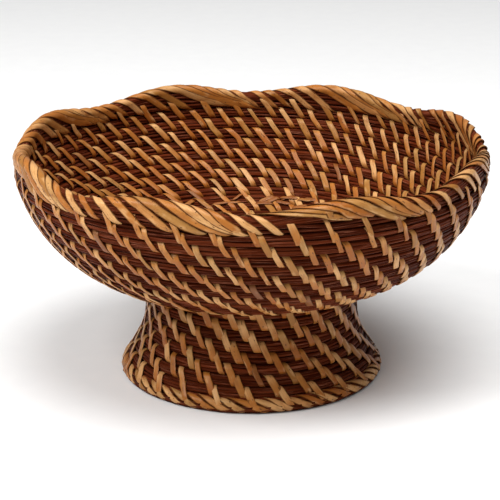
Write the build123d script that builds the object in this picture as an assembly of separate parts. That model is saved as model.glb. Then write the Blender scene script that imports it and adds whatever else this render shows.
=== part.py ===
"""A footed fruit basket of coiled basketry, in millimetres, +Z up, standing on z = 0 about the Z axis.

Dark reed bundles lie in turns, one beside or above the other, and pale cane lashings tie each turn to
the next. The bowl's floor runs into two arcs of wall. The foot is a flared collar of turns that ends in
a hoop. Eight fillers raise the rim into waves, and flat cane wraps cover the rim and the hoop.
"""

from math import cos, pi, radians, sin, sqrt
import os

from build123d import *

# Driving dimensions
COIL_R = 3.0  # one reed bundle of the bowl
FLOOR_PITCH = 6.7  # from one turn's centre to the next
WALL_PITCH = 7.05
CANE_T = 0.55  # thickness of a lashing or a wrap
SLACK = 0.03  # between a lashing and what it holds

FLOOR_Z = 62.0  # centre of the floor's turns
FIRST_TURN_R = 13.65
FLOOR_TURNS = 7
WALL_TURNS = 16
FLOOR_R = 60.0  # where the floor starts to rise
LOWER_ARC_R = 67.0
LOWER_ARC_DEG = 20.6
UPPER_ARC_R = 86.7

LOBES = 8
RIM_STEP = 7.6  # from the wall's last turn up to the rim's, with room for two layers of cane
CREST_Z = 144.4  # top of a filler at a crest
DIP_RISE = 2.7  # height of a filler above the rim's turn at a dip
FILLER_REACH_DEG = 22.3  # half the angle that one filler covers
SECTOR_DEG = 46.0  # angle of the blank that a filler is cut from
BLANK_H = 20.0  # height of that blank

FOOT_COIL_R = 3.0
FOOT_PITCH = 6.73
FOOT_TURNS = 8
NECK_STEP = 6.7  # from the bowl down to the foot's first turn
HOOP_HALF = 3.7  # half the hoop's width and height
HOOP_STEP = 7.9  # from the foot's last turn to the hoop
HOOP_CORNER_R = 2.3
FLARE_ARC_R = 50.0
FLARE_DEG = 30.0

LASHINGS = 42  # in a row of the wall
MIDDLE_LASHINGS = LASHINGS // 2  # in the rows further in
INNER_LASHINGS = LASHINGS // 6  # in the rows round the knot
MIDDLE_ROWS_R = 28.0  # where the middle rows begin
FULL_ROWS_R = 72.0  # where the wall's rows begin
WIDE_CANE_R = 58.0  # from where on the lashings have their full width
UNIT_DEG = 360 / LASHINGS / 3  # the grid that keeps every row's lashings clear of the next rows'
SHIFT_UNITS = 4  # how far each row is turned past the one outside it
CANE_W = 3.2
FLOOR_CANE_W = 2.6
KNOT_CANE_W = 2.0
RIM_WRAP_W = 5.6
HOOP_WRAP_W = 5.0
WRAP_SLACK = 0.1
HOOP_WRAP_CORNER_R = 1.2
KNOT_HOLE_R = 4.0  # radius of the ring of slots in the knot
KNOT_EDGE_R = 1.8  # rounding of the knot's rims
KNOT_FIRST_DEG = 180 / INNER_LASHINGS - SHIFT_UNITS * UNIT_DEG  # halfway between the first row's lashings

FLOOR_ROW_GROUPS = ((1, 3), (4, 7))  # the first and the last row in each group of lashings
WALL_ROW_GROUPS = ((8, 10), (11, 13), (14, 16), (17, 19), (20, 22))


def along_bowl(i):
    """Distance from the axis to the turn i, along the bowl's centre line."""
    return FIRST_TURN_R + FLOOR_PITCH * min(i, FLOOR_TURNS) + WALL_PITCH * max(i - FLOOR_TURNS, 0)


def bowl_point(s):
    """Radius and height on the bowl's centre line at the distance s from the axis."""
    if s <= FLOOR_R:
        return s, FLOOR_Z
    change = radians(LOWER_ARC_DEG)
    slope = min(change, (s - FLOOR_R) / LOWER_ARC_R)
    r = FLOOR_R + LOWER_ARC_R * sin(slope)
    z = FLOOR_Z + LOWER_ARC_R * (1 - cos(slope))
    past = s - FLOOR_R - LOWER_ARC_R * change
    if past > 0:
        end = change + past / UPPER_ARC_R
        r += UPPER_ARC_R * (sin(end) - sin(change))
        z += UPPER_ARC_R * (cos(change) - cos(end))
    return r, z


def foot_point(s, neck, length):
    """Radius and height on the foot's centre line, s below the turn of the bowl that it hangs from.

    The line drops straight, bends outwards and runs on as a cone. The drop and the cone share out
    what the bend leaves of the length, so that the line ends at the hoop's centre.
    """
    flare = radians(FLARE_DEG)
    arc = FLARE_ARC_R * flare
    height = neck[1] - HOOP_HALF - FLARE_ARC_R * sin(flare)
    cone = (length - arc - height) / (1 - cos(flare))
    drop = length - arc - cone
    bend = min(max(s - drop, 0) / FLARE_ARC_R, flare)
    along = max(s - drop - arc, 0)
    r = neck[0] + FLARE_ARC_R * (1 - cos(bend)) + along * sin(flare)
    z = neck[1] - min(s, drop) - FLARE_ARC_R * sin(bend) - along * cos(flare)
    return r, z


def turn(centre, radius):
    """One closed turn of a reed bundle."""
    section = Plane.XZ * Pos(*centre) * Circle(radius)
    return revolve(section, Axis.Z)


def around(solid, count, first_deg):
    """Copies of a solid turned evenly about Z, the first one first_deg past the front."""
    return [Rot(0, 0, first_deg - 90 + 360 * i / count) * solid for i in range(count)]


def sag(width, r):
    """How far a straight strap of that width stands off a turn of radius r."""
    return width**2 / (8 * r)


def strap(outer, inner, width):
    """A closed strap of cane between two outlines in the radial plane."""
    return extrude(Plane.XZ * (outer - inner), width / 2, both=True)


def pair_outline(a, b, grow):
    """The outline round two members, each given as its centre and radius."""
    (centre_a, radius_a), (centre_b, radius_b) = a, b
    rings = Pos(*centre_a) * Circle(radius_a + grow) + Pos(*centre_b) * Circle(radius_b + grow)
    return make_hull(rings.edges())


def tie(a, b, width, slack=SLACK):
    """A lashing round two members."""
    inside = slack + sag(width, min(a[0][0], b[0][0]) - COIL_R)
    return strap(pair_outline(a, b, inside + CANE_T), pair_outline(a, b, inside), width)


def row(j):
    """How many lashings row j of the bowl has, how wide they are and where the first one is.

    Row j ties turn j to the turn inside it. Each row's shift brings it a third of a gap past the
    row outside it, and clear of the two rows on either side.
    """
    s = along_bowl(j - 1)
    count = INNER_LASHINGS
    if s > FULL_ROWS_R:
        count = LASHINGS
    elif s > MIDDLE_ROWS_R:
        count = MIDDLE_LASHINGS
    width = CANE_W if s > WIDE_CANE_R else FLOOR_CANE_W
    return count, width, -SHIFT_UNITS * UNIT_DEG * j


def rows_of_ties(turns, first, last):
    """The lashings of the bowl's rows from first to last."""
    ties = []
    for j in range(first, last + 1):
        count, width, first_deg = row(j)
        ties += around(tie((turns[j - 1], COIL_R), (turns[j], COIL_R), width), count, first_deg)
    return ties


def knot(first):
    """The knot inside the first turn, with a slot for each of its lashings."""
    body = fillet(Cylinder(first[0] - COIL_R - WRAP_SLACK, 2 * COIL_R).edges(), KNOT_EDGE_R)
    slot = Box(CANE_T + WRAP_SLACK, KNOT_CANE_W + 2 * WRAP_SLACK, 4 * COIL_R)
    slots = around(Pos(KNOT_HOLE_R - CANE_T / 2, 0, 0) * slot, INNER_LASHINGS, KNOT_FIRST_DEG)
    return Pos(0, 0, FLOOR_Z) * (body - slots)


def knot_ties(first):
    """The lashings that tie the knot to the first turn."""
    end = first[0] + COIL_R + sag(KNOT_CANE_W, first[0])
    middle = Pos((KNOT_HOLE_R + end) / 2, FLOOR_Z)
    length, height = end - KNOT_HOLE_R, 2 * (COIL_R + SLACK)
    inner = middle * Rectangle(length, height)
    outer = middle * Rectangle(length + 2 * CANE_T, height + 2 * CANE_T)
    return around(strap(outer, inner, KNOT_CANE_W), INNER_LASHINGS, KNOT_FIRST_DEG)


def rim_top(theta_deg, dip_z):
    """Height of the rim's wavy outline at an angle past the front."""
    from_crest = theta_deg - 180 / LOBES
    return (CREST_Z + dip_z) / 2 + (CREST_Z - dip_z) / 2 * cos(radians(LOBES * from_crest))


def crest_filler(rim, dip_z):
    """One crest's filler, at the front of the +X side: a curved bar with a wavy, rounded top."""
    half_lobe = rim[0] * sin(pi / LOBES)
    quarter, rise = half_lobe / 2, (CREST_Z - dip_z) / 2
    wave_r = (quarter**2 + rise**2) / (2 * rise)
    mid_z, low = dip_z + rise, rim[1]
    half = quarter / 2
    lift = wave_r - sqrt(wave_r**2 - half**2)
    outline = Curve() + [
        Polyline((-half_lobe, dip_z), (-half_lobe, low), (half_lobe, low), (half_lobe, dip_z)),
        ThreePointArc((-half_lobe, dip_z), (half - half_lobe, dip_z + lift), (-quarter, mid_z)),
        ThreePointArc((-quarter, mid_z), (0, CREST_Z), (quarter, mid_z)),
        ThreePointArc((quarter, mid_z), (half_lobe - half, dip_z + lift), (half_lobe, dip_z)),
    ]
    wave = extrude(Plane.YZ * make_face(outline), 2 * rim[0])
    section = Plane.XZ * Pos(rim[0], low + BLANK_H / 2) * Rectangle(2 * COIL_R, BLANK_H)
    bar = wave & Rot(0, 0, -SECTOR_DEG / 2) * revolve(section, Axis.Z, SECTOR_DEG)
    long_top = [e for e in bar.edges() if e.length > half_lobe / 4 and e.center().Z > dip_z]
    bar = fillet(long_top, COIL_R - WRAP_SLACK)
    bottom = dip_z - DIP_RISE + SLACK
    section = Plane.XZ * Pos(rim[0], bottom + BLANK_H / 2) * Rectangle(4 * COIL_R, BLANK_H)
    return bar & Rot(0, 0, -FILLER_REACH_DEG) * revolve(section, Axis.Z, 2 * FILLER_REACH_DEG)


def rim_wrap(rim, lower, theta_deg, dip_z):
    """The wrap at one angle, from under the member called lower to over the wavy rim."""
    half_width_deg = RIM_WRAP_W / 2 / radians(1) / rim[0]
    top = max(rim_top(theta_deg + turned, dip_z) for turned in (-half_width_deg, 0, half_width_deg))
    upper = (rim[0], top - COIL_R)
    wrap = tie((lower, COIL_R), (upper, COIL_R), RIM_WRAP_W, WRAP_SLACK)
    return around(wrap, 1, theta_deg)[0]


def hoop(centre, first_deg):
    """The hoop that the basket stands on, grooved underneath so that its wraps lie flush."""
    section = Plane.XZ * Pos(*centre) * RectangleRounded(2 * HOOP_HALF, 2 * HOOP_HALF, HOOP_CORNER_R)
    groove = Box(3 * HOOP_HALF, HOOP_WRAP_W + 2 * WRAP_SLACK, 2 * (CANE_T + SLACK))
    return revolve(section, Axis.Z) - around(Pos(centre[0], 0, 0) * groove, 3 * MIDDLE_LASHINGS, first_deg)


def hoop_outline(centre, grow, below):
    """A rounded outline round the hoop, which goes the distance below under the wraps' flush bottom."""
    side = 2 * (HOOP_HALF + SLACK + sag(HOOP_WRAP_W, centre[0]) + grow)
    low, high = CANE_T - below, 2 * HOOP_HALF + SLACK + grow
    return Pos(centre[0], (low + high) / 2) * RectangleRounded(side, high - low, HOOP_WRAP_CORNER_R + grow)


def hoop_tie(last, centre):
    """A wrap that reaches round the foot's last turn as well as the hoop."""
    outlines = []
    for grow in (CANE_T, 0):
        around_turn = Pos(*last) * Circle(FOOT_COIL_R + SLACK + sag(HOOP_WRAP_W, last[0]) + grow)
        outlines.append(make_hull(around_turn.edges() + hoop_outline(centre, grow, grow).edges()))
    return strap(*outlines, HOOP_WRAP_W)


def save(name, shape):
    """Writes one node: a single solid, or several that stay separate."""
    solids = [solid for piece in (shape if isinstance(shape, list) else [shape]) for solid in piece.solids()]
    export_step(solids[0] if len(solids) == 1 else Compound(solids), f"parts/{name}.step")
    print(name, len(solids), "solids", round(sum(solid.volume for solid in solids)), "mm3")


def main():
    os.makedirs("parts", exist_ok=True)

    turns = [bowl_point(along_bowl(i)) for i in range(FLOOR_TURNS + WALL_TURNS)]
    save("centre_knot", knot(turns[0]))
    for i, centre in enumerate(turns):
        floor = i < FLOOR_TURNS
        name = f"floor_coil_{i + 1}" if floor else f"wall_coil_{i + 1 - FLOOR_TURNS:02d}"
        save(name, turn(centre, COIL_R))
    inner_rows, outer_rows = FLOOR_ROW_GROUPS
    save("floor_lashings_inner", knot_ties(turns[0]) + rows_of_ties(turns, *inner_rows))
    save("floor_lashings_outer", rows_of_ties(turns, *outer_rows))
    for i, group in enumerate(WALL_ROW_GROUPS):
        save(f"wall_lashings_{i + 1}", rows_of_ties(turns, *group))

    wall_top = turns[-1]
    rim = (wall_top[0], wall_top[1] + RIM_STEP)
    dip_z = rim[1] + COIL_R + DIP_RISE
    save("rim_coil", turn(rim, COIL_R))
    save("rim_fillers", around(crest_filler(rim, dip_z), LOBES, 180 / LOBES))
    first_wrap = row(len(turns))[2]
    angles = [first_wrap + UNIT_DEG * k for k in range(3 * LASHINGS)]
    save("rim_ties", [rim_wrap(rim, wall_top, angle, dip_z) for angle in angles[::3]])
    between = angles[1::3] + angles[2::3]
    save("rim_wraps", [rim_wrap(rim, rim, angle, dip_z) for angle in sorted(between)])

    neck = turns[FLOOR_TURNS]
    length = NECK_STEP + FOOT_PITCH * (FOOT_TURNS - 1) + HOOP_STEP
    foot = [foot_point(NECK_STEP + FOOT_PITCH * i, neck, length) for i in range(FOOT_TURNS)]
    ring = foot_point(length, neck, length)
    for i, centre in enumerate(foot):
        save(f"foot_coil_{i + 1}", turn(centre, FOOT_COIL_R))
    members = [(neck, COIL_R)] + [(centre, FOOT_COIL_R) for centre in foot]
    neck_deg = row(FLOOR_TURNS)[2] - UNIT_DEG  # between the lashings that meet at the neck
    foot_rows = []
    for m in range(FOOT_TURNS):
        width = FLOOR_CANE_W if m == 0 else CANE_W
        shifted = neck_deg + 2 * UNIT_DEG * m
        foot_rows.append(around(tie(members[m], members[m + 1], width), MIDDLE_LASHINGS, shifted))
    half = FOOT_TURNS // 2
    save("foot_lashings_upper", sum(foot_rows[:half], []))
    save("foot_lashings_lower", sum(foot_rows[half:], []))
    hoop_deg = neck_deg + 2 * UNIT_DEG * FOOT_TURNS
    save("foot_hoop", hoop(ring, hoop_deg))
    save("hoop_ties", around(hoop_tie(foot[-1], ring), MIDDLE_LASHINGS, hoop_deg))
    wrap = strap(hoop_outline(ring, CANE_T, CANE_T), hoop_outline(ring, 0, 0), HOOP_WRAP_W)
    wraps = around(wrap, MIDDLE_LASHINGS, hoop_deg + 2 * UNIT_DEG)
    save("hoop_wraps", wraps + around(wrap, MIDDLE_LASHINGS, hoop_deg + 4 * UNIT_DEG))


main()
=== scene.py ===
"""The looks of a footed fruit basket of coiled basketry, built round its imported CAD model.

Each turn becomes a bundle of separate reeds. Each row of lashings becomes one running strip of cane,
which leans as it winds round two turns. The rim and the hoop get overlapping wraps of wider cane, and
loose ends of cane lie tucked in along the bowl's inside.
"""

from collections import namedtuple
from math import pi, radians

import bpy
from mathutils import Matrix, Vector
import numpy as np


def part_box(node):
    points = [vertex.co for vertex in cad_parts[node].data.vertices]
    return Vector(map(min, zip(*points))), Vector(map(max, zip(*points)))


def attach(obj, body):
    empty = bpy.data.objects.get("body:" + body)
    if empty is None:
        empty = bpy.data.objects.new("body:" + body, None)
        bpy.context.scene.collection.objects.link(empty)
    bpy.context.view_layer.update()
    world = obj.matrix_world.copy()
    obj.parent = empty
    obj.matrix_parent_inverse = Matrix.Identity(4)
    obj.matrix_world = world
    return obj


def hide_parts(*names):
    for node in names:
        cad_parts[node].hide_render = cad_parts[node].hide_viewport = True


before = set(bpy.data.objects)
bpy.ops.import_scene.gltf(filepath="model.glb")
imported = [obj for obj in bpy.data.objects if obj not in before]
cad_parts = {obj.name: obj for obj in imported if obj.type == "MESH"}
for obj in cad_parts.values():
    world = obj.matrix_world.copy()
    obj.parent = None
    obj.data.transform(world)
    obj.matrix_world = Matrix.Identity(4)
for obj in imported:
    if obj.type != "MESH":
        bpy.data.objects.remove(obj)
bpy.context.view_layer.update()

MM = 0.001
TURN = 2 * pi

# Reeds
REED_R = 1.0 * MM
REEDS_IN_SHELL = 9
SHELL_SQUARENESS = 0.86  # 1 for round bundles, less for squarer ones that close up against each other
REED_SIDES = 8
REED_STATIONS = 216
CORE_PLACES = (-0.62, 0, 0.62)  # the three tubes of a bundle's core, in half widths from its middle
CORE_R = 0.54  # of the turn's own radius

# Lashings
CANE_W = 3.6 * MM
CANE_T = 0.62 * MM
CANE_LIFT = 0.04 * MM  # between a turn and the cane round it
WALL_LASHINGS = 42  # in a row, where the wall is wide enough
LASHING_GAP = 15.5 * MM  # the least room for one lashing
KNOT_LASHINGS = 7
KNOT_CANE_W = 2.2 * MM
KNOT_SHIFT = 0.2  # how far the innermost row is turned, in radians
FOOT_LASHINGS = 24
FOOT_CANE_W = 1.18 * CANE_W
ROW_SHIFT = 7.2 * MM  # how far each row is turned past the one above
FOOT_SHIFT = radians(5.6)
LEAN_OUT = 5.9 * MM  # how far a lashing leans on its way down outside
LEAN_IN = 9.6 * MM  # and on its way up inside
MOST_LEAN = 0.85  # of the way to the next loop, for both sides together
PAINTED_TOP_LIGHT = 0.75  # painted light: how much paler a lashing is at its top, a painted highlight, than at its foot, a painted shade
LOOSE_ENDS = 105
LOOSE_LENGTHS = (6, 14)  # in mm
LOOSE_HALF_WIDTHS = (0.8, 1.5)  # in mm
LOOSE_PLACE = 0.68  # of the way down from the row's upper turn to its lower one
LOOSE_SPREAD = 0.2

# The wraps
LOBES = 8
RIM_WRAPS = 84
BARE_LOBES = (0, 3, 6)  # lobes where the wraps end above the rim's turn on the way up to the crest
BARE_FLANK = (0.02, 0.38)  # and the part of those lobes, from one dip to the next
BARE_LEANS = (79, 68)  # degrees, at the two ends of that part
BARE_END = 1.0  # how far round its last centre a wrap reaches there, in radians
RIM_LEANS_IN = (54, 67)  # degrees, at a dip and on a crest
RIM_LEANS_OUT = (48, 63)
RIM_LEAN_SPREAD = 2.6
RIM_HALF_WIDTHS = (1.95 * MM, 2.5 * MM)  # at a dip and on a crest
RIM_ENDS = (1.35, 1.25)  # how far round its turn a wrap reaches inside and outside, in radians
RIM_TILTS = (0.4, 0.6)  # in mm, from one edge of a wrap to its middle
RIM_POINT = 0.12  # of a wrap's length, which narrows to each end
HOOP_WRAPS = 50
HOOP_LEAN = radians(60)
HOOP_HALF_WIDTH = 2.1 * MM
HOOP_ENDS = (1.55, 1.55)
HOOP_TILTS = (0.3, 0.45)
HOOP_POINT = 0.03
WRAP_T = 0.85 * CANE_T
WRAP_SIDE = 11  # stations up one side of a wrap
WRAP_TUCK = 7  # stations round the turn at each of its ends
WRAP_TOP = 13  # stations over its top
LEAN_CHANGE = (0.4, 0.7)  # the part of its length in which it goes from its lean inside to its lean outside
END_WIDTH = 0.4  # of its width, at its two ends

Ring = namedtuple("Ring", "r z radius")


def ring(node):
    """The centre line and thickness of a turn, from its CAD node."""
    low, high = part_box(node)
    radius = (high[2] - low[2]) / 2
    return Ring((high[0] - low[0]) / 2 - radius, (high[2] + low[2]) / 2, radius)


KNOT = ring("centre_knot")
FLOOR = [ring(f"floor_coil_{i}") for i in range(1, 8)]
WALL = [ring(f"wall_coil_{i:02d}") for i in range(1, 17)]
FOOT = [ring(f"foot_coil_{i}") for i in range(1, 9)]
HOOP = ring("foot_hoop")
RIM = ring("rim_coil")
CREST_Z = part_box("rim_fillers")[1][2]
DIP_Z = RIM.z + RIM.radius + 2.7 * MM  # height of the rim's top at a dip, under its wraps

# The hoop under its wraps is tall: it runs from one centre up towards the foot's last turn
HOOP_SECTION_R = 3.1 * MM
HOOP_FOOT = np.array([HOOP.r + 0.4 * MM, HOOP_SECTION_R + 0.8 * MM])
HOOP_TOP = HOOP_FOOT + np.array([-0.7, 1.1]) * MM
HOOP_REACH = HOOP_SECTION_R + 1.5 * MM


# ---------------------------------------------------------------- small tools


def wave(rng, steps, size):
    """A smooth closed random curve of the angle round the basket, with the given waves per turn."""
    parts = [(step, rng.uniform(0, TURN), rng.normal() * size / np.sqrt(len(steps))) for step in steps]
    return lambda angle: sum(height * np.sin(step * angle + start) for step, start, height in parts)


def at_angle(r, z, theta):
    """Points at radius r and height z, theta past the front towards +X."""
    return np.stack([r * np.sin(theta), -r * np.cos(theta), z * np.ones_like(theta)], axis=-1)


def between(ends, share):
    return ends[0] + (ends[1] - ends[0]) * share


def unit(vectors):
    return vectors / np.linalg.norm(vectors, axis=-1, keepdims=True)


class Sheaf:
    """Collects swept strips and tubes, and makes one mesh of them."""

    def __init__(self):
        self.points, self.faces, self.uvs, self.tints = [], [], [], []
        self.count = 0

    def add(self, points, along, across, tint, closed):
        """A swept skin. points is (stations, sides, 3), along and across its two surface coordinates.

        tint is one colour, or one for each station. An open skin gets a cap at each end.
        """
        stations, sides = points.shape[:2]
        rows = stations if closed else stations - 1
        i, j = np.meshgrid(np.arange(rows), np.arange(sides), indexing="ij")
        i2, j2 = (i + 1) % stations, (j + 1) % sides
        quads = np.stack([i * sides + j, i2 * sides + j, i2 * sides + j2, i * sides + j2], axis=-1)
        u = np.stack([along[i], along[i + 1], along[i + 1], along[i]], axis=-1)
        v = np.stack([across[j], across[j], across[j + 1], across[j + 1]], axis=-1)
        self.faces.append(quads.reshape(-1, 4) + self.count)
        self.uvs.append(np.stack([u, v], axis=-1).reshape(-1, 2))
        if not closed:
            half = sides // 2
            for station, order in ((0, 1), (stations - 1, -1)):
                for k in range(1, half):
                    corner = np.array([k - 1, k, sides - k - 1, sides - k])[::order]
                    self.faces.append((corner + station * sides + self.count)[None, :])
                    flat = np.stack([np.full(4, along[station]), across[corner]], axis=-1)
                    self.uvs.append(flat)
        self.points.append(points.reshape(-1, 3))
        tints = np.broadcast_to(np.asarray(tint, dtype=float), (stations, 4))
        self.tints.append(np.repeat(tints, sides, axis=0))
        self.count += stations * sides

    def make(self, name, material, slot, nodes):
        mesh = bpy.data.meshes.new(name)
        points, faces = np.concatenate(self.points), np.concatenate(self.faces)
        mesh.from_pydata(points, [], faces)
        mesh.uv_layers.new(name="strip").data.foreach_set("uv", np.concatenate(self.uvs).ravel())
        tint = mesh.color_attributes.new("tint", "FLOAT_COLOR", "POINT")
        tint.data.foreach_set("color", np.concatenate(self.tints).ravel())
        mesh.shade_smooth()
        mesh.materials.append(material)
        piece = bpy.data.objects.new(name, mesh)
        bpy.context.collection.objects.link(piece)
        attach(piece, "root")
        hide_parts(*nodes)


def sweep_tube(sheaf, centres, radius, tint, start=0.0):
    """A closed round tube that follows the centres all the way round."""
    tangent = unit(np.roll(centres, -1, axis=0) - np.roll(centres, 1, axis=0))
    side = unit(np.cross(tangent, [0, 0, 1]))
    top = np.cross(side, tangent)
    turn = np.arange(REED_SIDES) / REED_SIDES * TURN + start
    radius = np.broadcast_to(radius, len(centres))[:, None, None]
    skin = centres[:, None] + radius * (
        side[:, None] * np.cos(turn)[None, :, None] + top[:, None] * np.sin(turn)[None, :, None]
    )
    length = np.linalg.norm(np.roll(centres, -1, axis=0) - centres, axis=1)
    along = np.concatenate([[0], np.cumsum(length)])
    sheaf.add(skin, along, np.arange(REED_SIDES + 1) / REED_SIDES, tint, closed=True)


# A strip's section: x across it from -1 to 1, y from its flat inner face at 0 to its glossy face at 1
STRIP_X = np.array([-0.9, -1.0, -0.86, -0.5, 0.0, 0.5, 0.86, 1.0, 0.9, 0.0])
STRIP_Y = np.array([0.0, 0.35, 0.72, 0.93, 1.0, 0.93, 0.72, 0.35, 0.0, 0.0])


def sweep_strip(sheaf, centres, normals, half_width, thickness, tint, closed, tilt=0.0, start=0.0, bow=0.0):
    """A strip of cane whose inner face follows the centres.

    tilt lifts one edge over the other, and bow is how sharply the strip is curved across.
    """
    if closed:
        tangent = unit(np.roll(centres, -1, axis=0) - np.roll(centres, 1, axis=0))
    else:
        tangent = unit(np.gradient(centres, axis=0))
    normals = unit(normals - tangent * np.sum(normals * tangent, axis=1, keepdims=True))
    across = np.cross(tangent, normals)
    half_width = np.broadcast_to(half_width, len(centres))[:, None, None]
    thickness = np.broadcast_to(thickness, len(centres))[:, None, None]
    bow = np.broadcast_to(bow, len(centres))[:, None, None]
    x, y = STRIP_X[None, :, None], STRIP_Y[None, :, None]
    lift = thickness * y + tilt * x - bow * (half_width * x) ** 2 / 2
    skin = centres[:, None] + across[:, None] * half_width * x + normals[:, None] * lift
    last = np.roll(centres, -1, axis=0) - centres if closed else np.diff(centres, axis=0)
    along = np.concatenate([[0], np.cumsum(np.linalg.norm(last, axis=1))]) + start
    if not closed:
        along = np.append(along, along[-1])
    sheaf.add(skin, along, np.append(STRIP_X, STRIP_X[0]), tint, closed)


# ------------------------------------------------------------------ materials

CANE_ORANGE = (0.31, 0.083, 0.008, 1)
CANE_GOLD = (0.41, 0.145, 0.025, 1)
CANE_PALE = (0.62, 0.33, 0.125, 1)
CANE_OLIVE = (0.27, 0.14, 0.03, 1)
CANE_RUST = (0.30, 0.10, 0.02, 1)
# pale patches: partly bleached cane, partly painted highlight
CANE_BLEACH_AND_HIGHLIGHT = (0.70, 0.42, 0.19, 1)
CANE_FIBRE = (0.26, 0.1, 0.026, 1)
# a real stain on a few strips, and painted shade on the loose ends
CANE_STAIN_AND_SHADE = (0.15, 0.042, 0.012, 1)
# painted shade along a strip's edges, where it meets its neighbours
CANE_EDGE_SHADE = (0.07, 0.02, 0.006, 1)
CANE_SPECK = (0.06, 0.022, 0.009, 1)
CANE_SHINE = (1.0, 0.8, 0.6, 1)

REED_DARK = (0.037, 0.005, 0.0012, 1)
REED_RED = (0.12, 0.021, 0.0058, 1)
REED_WORN = (0.16, 0.037, 0.0135, 1)
# painted highlight: thin pale streaks along the reeds
REED_PAINTED_HIGHLIGHT = (0.38, 0.14, 0.08, 1)
# painted shade in the fine grooves along the reeds
REED_GROOVE_SHADE = (0.012, 0.0022, 0.001, 1)
# painted shade: the near-black core seen through the gaps between reeds
REED_CORE_SHADE = (0.03, 0.0058, 0.002, 1)
REED_SHINE = (1.0, 0.5, 0.36, 1)

FLOOR_GREYS = ((0.86, 0.86, 0.86, 1), (0.90, 0.90, 0.895, 1))


class Nodes:
    """A short way to build a material's node tree."""

    def __init__(self, name):
        self.material = bpy.data.materials.new(name)
        self.material.use_nodes = True
        self.tree = self.material.node_tree
        self.shader = self.tree.nodes["Principled BSDF"]

    def add(self, kind, inputs=None, **settings):
        node = self.tree.nodes.new(kind)
        for key, value in settings.items():
            setattr(node, key, value)
        for key, value in (inputs or {}).items():
            if isinstance(value, bpy.types.NodeSocket):
                self.tree.links.new(value, node.inputs[key])
            else:
                node.inputs[key].default_value = value
        return node

    def math(self, operation, a, b=0.0):
        return self.add("ShaderNodeMath", {0: a, 1: b}, operation=operation).outputs[0]

    def mix(self, share, a, b):
        return self.add("ShaderNodeMix", {0: share, 6: a, 7: b}, data_type="RGBA").outputs[2]

    def layer(self, colour, over, where, most):
        """The colour with another over it: the share most of it where the value is 1, none where it is 0."""
        return self.mix(self.math("MULTIPLY", where, most), colour, over)

    def noise(self, place, scale, detail, rough=0.5):
        return self.add(
            "ShaderNodeTexNoise", {"Vector": place, "Scale": scale, "Detail": detail, "Roughness": rough}
        ).outputs[0]

    def ramp(self, value, low, high):
        """0 below low, 1 above high, smooth between."""
        node = self.add(
            "ShaderNodeMapRange", {0: value, 1: low, 2: high, 3: 0.0, 4: 1.0}, interpolation_type="SMOOTHSTEP"
        )
        return node.outputs[0]

    def stretched(self, along_scale, across_scale, seed):
        """Coordinates along and across a strip, different on each strip."""
        uv = self.add("ShaderNodeUVMap", uv_map="strip").outputs[0]
        parts = self.add("ShaderNodeSeparateXYZ", {0: uv})
        place = {
            "X": self.math("MULTIPLY", parts.outputs[0], along_scale),
            "Y": self.math("MULTIPLY", parts.outputs[1], across_scale),
            "Z": self.math("MULTIPLY", seed, 40.0),
        }
        return self.add("ShaderNodeCombineXYZ", place).outputs[0], parts.outputs[1]

    def finish(self, colour, roughness, specular, coat, height, distance):
        bump = self.add("ShaderNodeBump", {"Strength": 1.0, "Distance": distance, "Height": height})
        self.tree.links.new(bump.outputs[0], self.shader.inputs["Normal"])
        self.tree.links.new(colour, self.shader.inputs["Base Color"])
        self.tree.links.new(roughness, self.shader.inputs["Roughness"])
        self.tree.links.new(specular, self.shader.inputs["Specular IOR Level"])
        if coat:
            self.tree.links.new(coat, self.shader.inputs["Coat Weight"])
        self.shader.inputs["Coat Roughness"].default_value = 0.3
        return self.material


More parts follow.
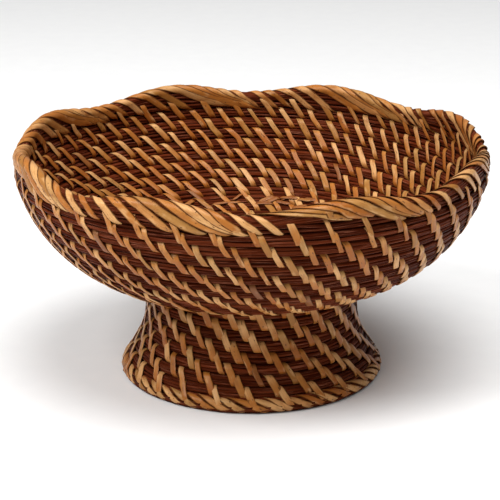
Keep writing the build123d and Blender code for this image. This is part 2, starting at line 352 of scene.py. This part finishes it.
def cane_material(name, coat, edges):
    """Split cane: golden, with long fibres, a glossy skin, edges painted dark as the shade between strips,
    pale patches that are part bleaching and part painted highlight, specks and a few stained strips.

    The tint attribute holds, for each strip, its tone, its stain and a random seed. On lashings the tone is
    raised at the top and lowered at the foot as painted light and shade, and on the loose ends the stain is
    painted shade. edges says how far across the strip its painted edge shade begins and is darkest.
    """
    n = Nodes(name)
    tint = n.add("ShaderNodeAttribute", attribute_name="tint")
    tone, stain, seed = n.add("ShaderNodeSeparateColor", {0: tint.outputs[0]}).outputs[:3]
    fibre_place, across = n.stretched(90.0, 5.0, seed)
    fibre = n.noise(fibre_place, 1.0, 3.0, 0.65)
    patch_place, _ = n.stretched(110.0, 0.6, seed)
    patch = n.noise(patch_place, 1.0, 2.0)
    colour = n.mix(n.ramp(tone, 0.0, 0.5), CANE_ORANGE, CANE_GOLD)
    colour = n.mix(n.ramp(tone, 0.5, 1.0), colour, CANE_PALE)
    olive = n.ramp(n.math("FRACT", n.math("MULTIPLY", seed, 7.3)), 0.62, 0.95)
    colour = n.layer(colour, CANE_OLIVE, olive, 0.55)
    colour = n.layer(colour, CANE_RUST, n.ramp(patch, 0.5, 0.72), 0.7)
    # pale patches at random along each strip, partly bleached cane and partly painted highlight
    colour = n.layer(colour, CANE_BLEACH_AND_HIGHLIGHT, n.ramp(patch, 0.46, 0.26), 0.5)
    colour = n.layer(colour, CANE_FIBRE, n.ramp(fibre, 0.35, 0.72), 0.45)
    # the stain: a real stain on a few strips, and painted shade that darkens the loose ends as if in shadow
    colour = n.mix(stain, colour, CANE_STAIN_AND_SHADE)
    # painted shade: each strip darkens towards its edges, like the shaded gaps between strips; gloss is taken
    # off there too
    edge = n.ramp(n.math("ABSOLUTE", across), *edges)
    colour = n.layer(colour, CANE_EDGE_SHADE, edge, 0.9)
    speck_place, _ = n.stretched(420.0, 2.2, seed)
    speck = n.ramp(n.noise(speck_place, 1.0, 1.0), 0.68, 0.74)
    colour = n.layer(colour, CANE_SPECK, speck, 0.85)
    roughness = n.math("ADD", n.math("MULTIPLY", fibre, 0.25), 0.26)
    height = n.math("SUBTRACT", n.math("MULTIPLY", fibre, 0.7), n.math("MULTIPLY", speck, 0.5))
    face = n.math("SUBTRACT", 1.0, edge)
    specular = n.math("MULTIPLY", face, 0.2)
    n.shader.inputs["Specular Tint"].default_value = CANE_SHINE
    return n.finish(colour, roughness, specular, n.math("MULTIPLY", face, coat), height, 0.00018)


def reed_material():
    """Dark stained reeds: red-brown, finely streaked, with a low gloss, thin pale streaks painted as
    highlights and near-black streaks painted as shade in the grooves.

    The tint attribute holds, for each reed, its tone, whether it is a bundle's core, and a random seed. A
    core is painted near-black, as the shade seen between the reeds.
    """
    n = Nodes("dark_reed")
    tint = n.add("ShaderNodeAttribute", attribute_name="tint")
    tone, core, seed = n.add("ShaderNodeSeparateColor", {0: tint.outputs[0]}).outputs[:3]
    streak_place, _ = n.stretched(55.0, 14.0, seed)
    streak = n.noise(streak_place, 1.0, 4.0, 0.65)
    patch_place, _ = n.stretched(28.0, 2.0, seed)
    patch = n.noise(patch_place, 1.0, 2.0)
    colour = n.mix(tone, REED_DARK, REED_RED)
    colour = n.layer(colour, REED_WORN, n.ramp(patch, 0.45, 0.75), 0.5)
    # painted highlight: thin pale streaks stand in for the glints along the reeds
    colour = n.layer(colour, REED_PAINTED_HIGHLIGHT, n.ramp(streak, 0.55, 0.70), 0.7)
    # painted shade: thin near-black streaks where the bump is lowest, in the grooves
    colour = n.layer(colour, REED_GROOVE_SHADE, n.ramp(streak, 0.46, 0.28), 0.8)
    # painted shade: core tubes are near-black and without gloss, as the shade seen between the reeds
    colour = n.mix(core, colour, REED_CORE_SHADE)
    roughness = n.math("ADD", n.math("MULTIPLY", streak, 0.3), 0.2)
    specular = n.math("MULTIPLY", n.math("SUBTRACT", 1.0, core), 0.025)
    n.shader.inputs["Specular Tint"].default_value = REED_SHINE
    return n.finish(colour, roughness, specular, None, streak, 0.00014)


def floor_material():
    n = Nodes("studio_floor")
    place = n.add("ShaderNodeTexCoord").outputs["Object"]
    grain = n.noise(place, 60.0, 3.0)
    colour = n.mix(grain, *FLOOR_GREYS)
    roughness = n.math("ADD", n.math("MULTIPLY", grain, 0.05), 0.85)
    return n.finish(colour, roughness, n.math("MULTIPLY", grain, 0.5), None, grain, 0.00002)


REED = reed_material()
LASHING_CANE = cane_material("lashing_cane", 0.17, (0.76, 0.98))
WRAP_CANE = cane_material("wrap_cane", 0.14, (0.62, 0.9))


# ---------------------------------------------------------------------- turns


def squared(values):
    """Sines or cosines pushed out from a circle towards a square."""
    return np.sign(values) * np.abs(values) ** SHELL_SQUARENESS


def add_bundle(sheaf, turn, along, reach, seed):
    """A turn as a bundle: a shell of thin reeds that wander a little, round a core painted near-black as the
    shade between them.

    along is the direction to the next turn in the radial plane, and reach the bundle's half width that way.
    """
    rng = np.random.default_rng(seed)
    theta = np.arange(REED_STATIONS) / REED_STATIONS * TURN
    out = np.array([along[1], -along[0]])
    # core tubes, painted near-black as shade between the reeds
    for step in CORE_PLACES:
        core = np.array([turn.r, turn.z]) + step * reach * along
        sweep_tube(sheaf, at_angle(core[0], core[1], theta), CORE_R * turn.radius, (0, 1, rng.random(), 1))
    for k in range(REEDS_IN_SHELL):
        reed_r = REED_R * rng.uniform(0.84, 1.15)
        place = TURN * (k + 0.5 * (seed % 2) + rng.uniform(-0.12, 0.12)) / REEDS_IN_SHELL
        place = place + wave(rng, (3, 5, 8, 13, 21), 0.13)(theta)
        sunk = reed_r + wave(rng, (4, 7, 12, 19), 0.08 * MM)(theta)
        step_out = (turn.radius - sunk) * squared(np.cos(place))
        step_along = (reach - sunk) * squared(np.sin(place))
        r = turn.r + step_out * out[0] + step_along * along[0]
        z = turn.z + step_out * out[1] + step_along * along[1]
        tint = (rng.uniform(0, 1) ** 1.3, 0, rng.random(), 1)
        sweep_tube(sheaf, at_angle(r, z, theta), reed_r, tint, start=rng.uniform(0, 1))


def reed_bundle(name, turn, along, reach, seed):
    sheaf = Sheaf()
    add_bundle(sheaf, turn, along, reach, seed)
    sheaf.make(name + "_reeds", REED, "reed", [name])


def build_knot():
    """The knot in the middle of the floor: one turn of reeds round a tightly rolled one."""
    sheaf = Sheaf()
    rolled = 0.4 * (KNOT.r - KNOT.radius) + 0.5 * MM
    for seed, turn in ((80, KNOT), (81, Ring(rolled, KNOT.z, rolled))):
        add_bundle(sheaf, turn, np.array([1.0, 0.0]), turn.radius, seed)
    sheaf.make("centre_knot_reeds", REED, "reed", ["centre_knot"])


def bundles_in_a_row(names, turns, seed):
    """The bundles of neighbouring turns, each as wide as half the way to its neighbours."""
    centres = np.array([turn[:2] for turn in turns])
    steps = np.gradient(centres, axis=0)
    for k, (name, turn) in enumerate(zip(names, turns)):
        near = np.linalg.norm(steps[k])
        reed_bundle(name, turn, steps[k] / near, near / 2 + 0.05 * MM, seed + k)


def rim_top(theta):
    """Height of the rim's wavy top under its wraps, with crests at odd eighths of a half turn."""
    return (CREST_Z + DIP_Z) / 2 - (CREST_Z - DIP_Z) / 2 * np.cos(LOBES * theta)


def filler_reeds():
    """The reeds that raise the rim, which follow its waves and sink into the rim's turn at a dip."""
    rng = np.random.default_rng(71)
    theta = np.arange(2 * REED_STATIONS) / (2 * REED_STATIONS) * TURN
    sheaf = Sheaf()
    upper = rim_top(theta) - RIM.radius
    for share, places in ((1.0, (0, 36, 72, 108, 144, 180)), (0.5, (0, 180)), (0.75, (0, 180))):
        for place in places:
            reed_r = REED_R * rng.uniform(0.9, 1.15)
            depth = RIM.radius - reed_r + wave(rng, (5, 9, 16, 23), 0.08 * MM)(theta)
            turned = radians(place) + wave(rng, (5, 8, 13), 0.08)(theta)
            centre_z = RIM.z + share * (upper - RIM.z)
            centres = at_angle(RIM.r + depth * np.cos(turned), centre_z + depth * np.sin(turned), theta)
            sweep_tube(sheaf, centres, reed_r, (rng.uniform(0, 1) ** 1.4, 0, rng.random(), 1))
    # a centre tube, painted near-black as shade between the filler reeds
    centres = at_angle(RIM.r, RIM.z + 0.55 * (upper - RIM.z), theta)
    sweep_tube(sheaf, centres, RIM.radius - 1.2 * REED_R, (0, 1, 0, 1))
    sheaf.make("rim_filler_reeds", REED, "reed", ["rim_fillers"])


# ------------------------------------------------------------------- lashings

LEG = 6  # stations down one flat side of a lashing
BEND = 16  # stations round one of its turns
BEND_SPREAD = 1.7  # how much of a bend a lashing takes to cross over: 2 for all of it
LOOP_JITTER = 0.05  # of the way to the next loop
WIDTH_SPREAD = 0.13


def strip_tints(rng, count, stained=0.03, middle=0.5):
    """One tint a strip: mostly golden, some pale or orange, a few stained."""
    tone = np.clip(rng.normal(middle, 0.3, count), 0, 1)
    stain = np.where(rng.random(count) < stained, rng.uniform(0.5, 0.9, count), 0)
    return np.stack([tone, stain, rng.random(count), np.ones(count)], axis=1)


def lashing_row(sheaf, upper, lower, count, first, rng, width):
    """One row: a strip of cane that winds round two turns, count times round the basket.

    A loop starts above the upper turn, goes down outside, crosses under the lower turn, comes up inside
    and crosses over the upper turn. It leans along the basket on each side, and the crossings take up
    what is left of the way to the next loop.
    """
    a, b = np.array(upper[:2]), np.array(lower[:2])
    down = unit(b - a)
    out = np.array([-down[1], down[0]])
    quarter = (np.arange(BEND // 2) + 0.5) / BEND * pi
    leg = (np.arange(LEG) + 0.5)[:, None] / LEG

    def bend(centre, radius, start, end):
        facing = np.cos(quarter)[:, None] * start + np.sin(quarter)[:, None] * end
        return centre + facing * (radius + CANE_LIFT), facing

    def side(direction):
        top = a + direction * (upper.radius + CANE_LIFT)
        bottom = b + direction * (lower.radius + CANE_LIFT)
        return top + leg * (bottom - top), np.repeat(direction[None], LEG, axis=0)

    half_loops = []
    for direction in (out, -out):
        parts = [
            bend(a, upper.radius, -down, direction),
            side(direction),
            bend(b, lower.radius, direction, down),
        ]
        half_loops.append([np.concatenate(piece) for piece in zip(*parts)])
    section = np.concatenate([half_loops[0][0], half_loops[1][0][::-1]])
    facing = np.concatenate([half_loops[0][1], half_loops[1][1][::-1]])

    stations = len(section)
    depth = (section - a) @ down
    drop = (depth - depth.min()) / (depth.max() - depth.min())
    spacing = TURN / count
    reach = TURN * (a[0] + b[0]) / 2 / count
    share = min(1, MOST_LEAN * reach / (LEAN_OUT + LEAN_IN))
    lean_out, lean_in = share * LEAN_OUT / reach, share * LEAN_IN / reach
    cross = (1 - lean_out - lean_in) / 2
    inward = np.clip(0.5 - facing @ out / BEND_SPREAD, 0, 1)
    crossed = inward * inward * (3 - 2 * inward)
    first_half = np.arange(stations) < stations // 2
    below = drop > 0.5
    way = np.where(first_half, lean_out * drop, lean_out + cross + lean_in * (1 - drop))
    way += np.where(below, cross * np.where(first_half, crossed, crossed - 1), 0)
    way += np.where(below, 0, cross * np.where(first_half, -crossed, 1 - crossed))

    loop = np.repeat(np.arange(count), stations)
    at = loop + np.tile(way, count)
    jitter = rng.normal(0, LOOP_JITTER, 2 * count) * spacing
    widths = width / 2 * np.clip(rng.normal(1, WIDTH_SPREAD, 2 * count), 0.7, 1.25)
    middles = np.repeat(np.arange(count), 2) + np.tile([lean_out / 2, 0.5 + lean_out / 2], count)
    theta = first + (at - lean_out / 2) * spacing + np.interp(at, middles, jitter, period=count)
    half = np.interp(at, middles, widths, period=count)
    section, facing = np.tile(section, (count, 1)), np.tile(facing, (count, 1))
    centres = at_angle(section[:, 0], section[:, 1], theta)
    normals = at_angle(facing[:, 0], facing[:, 1], theta)
    tints = np.repeat(strip_tints(rng, 2 * count), stations // 2, axis=0)
    # painted highlight and shade: each lashing's tone rises towards its top and falls towards its foot
    tints[:, 0] = np.clip(tints[:, 0] + PAINTED_TOP_LIGHT * (0.5 - np.tile(drop, count)), 0, 1)
    sweep_strip(sheaf, centres, normals, half, CANE_T, tints, closed=True, start=rng.uniform(0, 9))


def loose_ends(sheaf):
    """Ends of used up strips, tucked in along the bowl's inside where it starts to steepen."""
    rng = np.random.default_rng(350)
    upper, lower = WALL[7], WALL[5]
    a, b = np.array(upper[:2]), np.array(lower[:2])
    down = unit(b - a)
    inside = np.array([down[1], -down[0]])
    for _ in range(LOOSE_ENDS):
        share = np.linspace(0, 1, 13)
        theta = rng.uniform(0, TURN) + share * rng.uniform(*LOOSE_LENGTHS) * MM / lower.r
        middle = a + (b - a) * np.clip(rng.normal(LOOSE_PLACE, LOOSE_SPREAD), 0, 1)
        drop = (share - 0.5) * rng.uniform(-1, 5) * MM + rng.uniform(-0.8, 0.8) * MM * np.sin(TURN * share)
        sunk = 1.6 * MM * np.abs(2 * share - 1) ** 5
        proud = upper.radius + rng.uniform(0.2, 1.0) * MM - sunk
        section = middle + drop[:, None] * down + proud[:, None] * inside
        facing = np.repeat(inside[None], len(share), axis=0)
        centres = at_angle(section[:, 0], section[:, 1], theta)
        normals = at_angle(facing[:, 0], facing[:, 1], theta)
        half = rng.uniform(*LOOSE_HALF_WIDTHS) * MM * np.interp(share, [0, 0.2, 0.8, 1], [0.4, 1, 1, 0.4])
        # painted shade: the loose ends get much of the stain colour, darkening them as if they lay in shadow
        tint = (rng.uniform(0, 0.6), rng.uniform(0.25, 0.7), rng.random(), 1)
        sweep_strip(sheaf, centres, normals, half, CANE_T * 0.7, tint, False, start=rng.uniform(0, 9))


def build_bowl_lashings():
    """Every row of the bowl, from the rim down to the knot."""
    turns = FLOOR + WALL + [RIM]
    groups = ["floor_lashings_inner"] * 3 + ["floor_lashings_outer"] * 4
    groups += [f"wall_lashings_{g}" for g in (1, 2, 3, 4, 5) for _ in range(3)] + ["rim_ties"]
    sheaves = {}
    first = 0.0
    for j in range(len(groups), 0, -1):
        upper, lower = turns[j], turns[j - 1]
        count = max(KNOT_LASHINGS, min(WALL_LASHINGS, round(TURN * lower.r / LASHING_GAP)))
        width = CANE_W * min(1, 0.6 + lower.r / (140 * MM))  # finer towards the knot
        sheaf = sheaves.setdefault(groups[j - 1], Sheaf())
        lashing_row(sheaf, upper, lower, count, first, np.random.default_rng(300 + j), width)
        first += ROW_SHIFT / upper.r
    knot_side = Ring(KNOT.r * 0.5 + 2 * MM, KNOT.z, KNOT.radius)
    rng = np.random.default_rng(299)
    lashing_row(
        sheaves["floor_lashings_inner"], FLOOR[0], knot_side, KNOT_LASHINGS, KNOT_SHIFT, rng, KNOT_CANE_W
    )
    loose_ends(sheaves["wall_lashings_3"])
    for node, sheaf in sheaves.items():
        sheaf.make(node + "_cane", LASHING_CANE, "wrap_cane" if node == "rim_ties" else "cane", [node])


def build_foot_lashings():
    """The rows of the foot, from the bowl down to the hoop."""
    members = [WALL[0]] + FOOT + [Ring(HOOP_TOP[0], HOOP_TOP[1], HOOP_SECTION_R)]
    groups = ["foot_lashings_upper"] * 4 + ["foot_lashings_lower"] * 4 + ["hoop_ties"]
    sheaves = {}
    for m, node in enumerate(groups):
        sheaf = sheaves.setdefault(node, Sheaf())
        rng = np.random.default_rng(400 + m)
        lashing_row(sheaf, members[m], members[m + 1], FOOT_LASHINGS, FOOT_SHIFT * m, rng, FOOT_CANE_W)
    for node, sheaf in sheaves.items():
        sheaf.make(node + "_cane", LASHING_CANE, "wrap_cane" if node == "hoop_ties" else "cane", [node])


# ---------------------------------------------------------------------- wraps


def wrap_strip(sheaf, theta, leans, half_width, rng, starts, upper, radius, ends, tint, tilt, point):
    """One wrap: from inside under a first centre, up, over the top at theta, down outside to a last centre.

    starts are the (r, z) of the first and the last centre, and upper(angle) gives one for each angle.
    ends says how far round those two centres the strip reaches, and leans how it leans inside and outside.
    point is the share of the strip that narrows to each end.
    """
    upper_r, upper_z = upper(np.array([theta]))
    inner, outer = np.array(starts[0]), np.array(starts[1])
    heights = [float(np.hypot(upper_r[0] - corner[0], upper_z[0] - corner[1])) for corner in (inner, outer)]
    side, tuck = np.linspace(0, 1, WRAP_SIDE), np.linspace(0, 1, WRAP_TUCK + 1)
    over = pi * (1 - np.linspace(0, 1, WRAP_TOP + 2)[1:-1])
    up, down = np.full(WRAP_SIDE, pi), np.zeros(WRAP_SIDE)
    turned = np.concatenate([pi + ends[0] * (1 - tuck[:-1]), up, over, down, -ends[1] * tuck[1:]])
    low, high = np.zeros(WRAP_TUCK), np.ones(WRAP_TOP)
    share = np.concatenate([low, side, high, side[::-1], low])
    inside = np.arange(len(share)) < len(share) // 2
    height = np.where(inside[1:], heights[0], heights[1])
    step = radius * np.abs(np.diff(turned)) + height * np.abs(np.diff(share))
    length = np.concatenate([[0], np.cumsum(step)]) / step.sum()
    slope = np.interp((length[1:] + length[:-1]) / 2, LEAN_CHANGE, np.tan(leans))
    turn = np.concatenate([[0], np.cumsum(slope * step)]) / outer[0]
    angle = theta + turn - turn[len(turn) // 2]
    upper_r, upper_z = upper(angle)
    corner_r, corner_z = np.where(inside, inner[:, None], outer[:, None])
    r = corner_r + share * (upper_r - corner_r) + radius * np.cos(turned)
    z = corner_z + share * (upper_z - corner_z) + radius * np.sin(turned)
    centres = at_angle(r, z, angle)
    normals = at_angle(np.cos(turned), np.sin(turned), angle)
    taper = np.interp(length, [0, point, 1 - point, 1], [END_WIDTH, 1, 1, END_WIDTH])
    round_it = np.gradient(turned) != 0
    bow = round_it * np.sin(np.arctan(np.interp(length, LEAN_CHANGE, np.tan(leans)))) ** 2 / radius
    sweep_strip(
        sheaf, centres, normals, half_width * taper, WRAP_T, tint, False, tilt, rng.uniform(0, 9), bow
    )


def rim_middle(angle):
    """The centre the rim's wraps turn over, at each angle."""
    return np.full_like(angle, RIM.r), rim_top(angle) - RIM.radius


def build_rim():
    """Wraps over the whole rim: wide and close on a crest, narrower with gaps between them at a dip."""
    rng = np.random.default_rng(17)
    wraps = Sheaf()
    tints = strip_tints(rng, RIM_WRAPS, 0, 0.72)
    for k in range(RIM_WRAPS):
        theta = TURN * (k + rng.uniform(-0.2, 0.2)) / RIM_WRAPS
        lobe, place = divmod(theta * LOBES / TURN % LOBES, 1)
        crest = 0.5 - 0.5 * np.cos(TURN * place)
        bare = lobe in BARE_LOBES and BARE_FLANK[0] < place < BARE_FLANK[1]
        lean_in = between(RIM_LEANS_IN, crest) + rng.normal(0, RIM_LEAN_SPREAD)
        lean_out = between(RIM_LEANS_OUT, crest) + rng.normal(0, RIM_LEAN_SPREAD)
        low = RIM.z - 1.0 * MM
        end_z = low + rng.normal(0, 0.25) * MM
        radius = RIM.radius + (0.2 + 0.2 * rng.random()) * MM
        half_width = between(RIM_HALF_WIDTHS, crest) + rng.normal(0, 0.15) * MM
        if bare:
            lean_out = np.interp(place, BARE_FLANK, BARE_LEANS) + rng.normal(0, 1)
            end_z = RIM.z + RIM.radius + 1.9 * MM
            radius += 0.3 * MM
        starts = ((RIM.r, low + rng.normal(0, 0.5) * MM), (RIM.r, end_z))
        wrap_strip(
            wraps, theta, (radians(lean_in), radians(lean_out)), half_width, rng, starts, rim_middle,
            radius, (RIM_ENDS[0], BARE_END if bare else RIM_ENDS[1]), tints[k],
            rng.uniform(*RIM_TILTS) * MM, RIM_POINT,
        )
    wraps.make("rim_wrap_strips", WRAP_CANE, "wrap_cane", ["rim_wraps"])


def hoop_middle(angle):
    """The centre the hoop's wraps turn over, at each angle."""
    return np.outer(HOOP_TOP, np.ones_like(angle))


def build_hoop():
    """Wraps all along the hoop, each lying over the edge of the next."""
    rng = np.random.default_rng(23)
    wraps = Sheaf()
    tints = strip_tints(rng, HOOP_WRAPS, 0, 0.8)
    for k in range(HOOP_WRAPS):
        theta = TURN * (k + rng.uniform(-0.12, 0.12)) / HOOP_WRAPS
        lean = HOOP_LEAN + radians(rng.normal(0, 2.5))
        half_width = HOOP_HALF_WIDTH + rng.normal(0, 0.12) * MM
        wrap_strip(
            wraps, theta, (lean, lean), half_width, rng, (HOOP_FOOT, HOOP_FOOT), hoop_middle,
            HOOP_SECTION_R + 0.05 * MM, HOOP_ENDS, tints[k], rng.uniform(*HOOP_TILTS) * MM, HOOP_POINT,
        )
    wraps.make("hoop_wrap_strips", WRAP_CANE, "wrap_cane", ["hoop_wraps"])


# ------------------------------------------------------------------ the scene

CAMERA_PLACE = (0, -1.120, 0.4473)
CAMERA_TARGET = (0, 0, 0.0740)
LENS_MM = 140.8
SHIFT_X = -0.003

LIGHTS = (  # name, place, size, power in watts
    ("key", (-1.1, -0.8, 1.5), 1.0, 27),
    ("side", (-1.5, -0.1, 0.8), 0.9, 2.5),
    ("top", (0.3, -0.45, 2.0), 1.6, 43),
)
LIGHT_TARGET = (0, 0, 0.08)
WORLD_LIGHT = 0.28
FLOOR_HALF = 6.0


def aim(thing, place, target):
    thing.location = place
    thing.rotation_euler = (Vector(target) - Vector(place)).to_track_quat("-Z", "Y").to_euler()
    bpy.context.collection.objects.link(thing)


def build_camera():
    data = bpy.data.cameras.new("camera")
    data.lens, data.sensor_width, data.shift_x = LENS_MM, 36, SHIFT_X
    camera = bpy.data.objects.new("camera", data)
    aim(camera, CAMERA_PLACE, CAMERA_TARGET)
    bpy.context.scene.camera = camera


def area_light(name, place, size, power):
    data = bpy.data.lights.new(name, "AREA")
    data.shape, data.size, data.energy = "DISK", size, power
    aim(bpy.data.objects.new(name, data), place, LIGHT_TARGET)


def build_studio():
    mesh = bpy.data.meshes.new("floor")
    corners = [(FLOOR_HALF * x, FLOOR_HALF * y, 0) for x, y in ((-1, -1), (1, -1), (1, 1), (-1, 1))]
    mesh.from_pydata(corners, [], [(0, 1, 2, 3)])
    mesh.materials.append(floor_material())
    floor = bpy.data.objects.new("floor", mesh)
    bpy.context.collection.objects.link(floor)
    world = bpy.data.worlds.new("studio")
    bpy.context.scene.world = world
    world.use_nodes = True
    background = world.node_tree.nodes["Background"]
    background.inputs[0].default_value = (1, 1, 1, 1)
    background.inputs[1].default_value = WORLD_LIGHT
    for light in LIGHTS:
        area_light(*light)
    bpy.context.scene.view_settings.view_transform = "Standard"


def build_basket():
    bowl = [f"floor_coil_{i}" for i in range(1, 8)] + [f"wall_coil_{i:02d}" for i in range(1, 17)]
    bundles_in_a_row(bowl + ["rim_coil"], FLOOR + WALL + [RIM], 1)
    bundles_in_a_row([f"foot_coil_{i}" for i in range(1, 9)], FOOT, 50)
    middle = Ring(*(HOOP_TOP + HOOP_FOOT) / 2, HOOP_SECTION_R)
    reed_bundle("foot_hoop", middle, unit(HOOP_TOP - HOOP_FOOT), HOOP_REACH, 61)
    filler_reeds()
    build_knot()
    build_bowl_lashings()
    build_foot_lashings()
    build_rim()
    build_hoop()


build_camera()
build_studio()
build_basket()
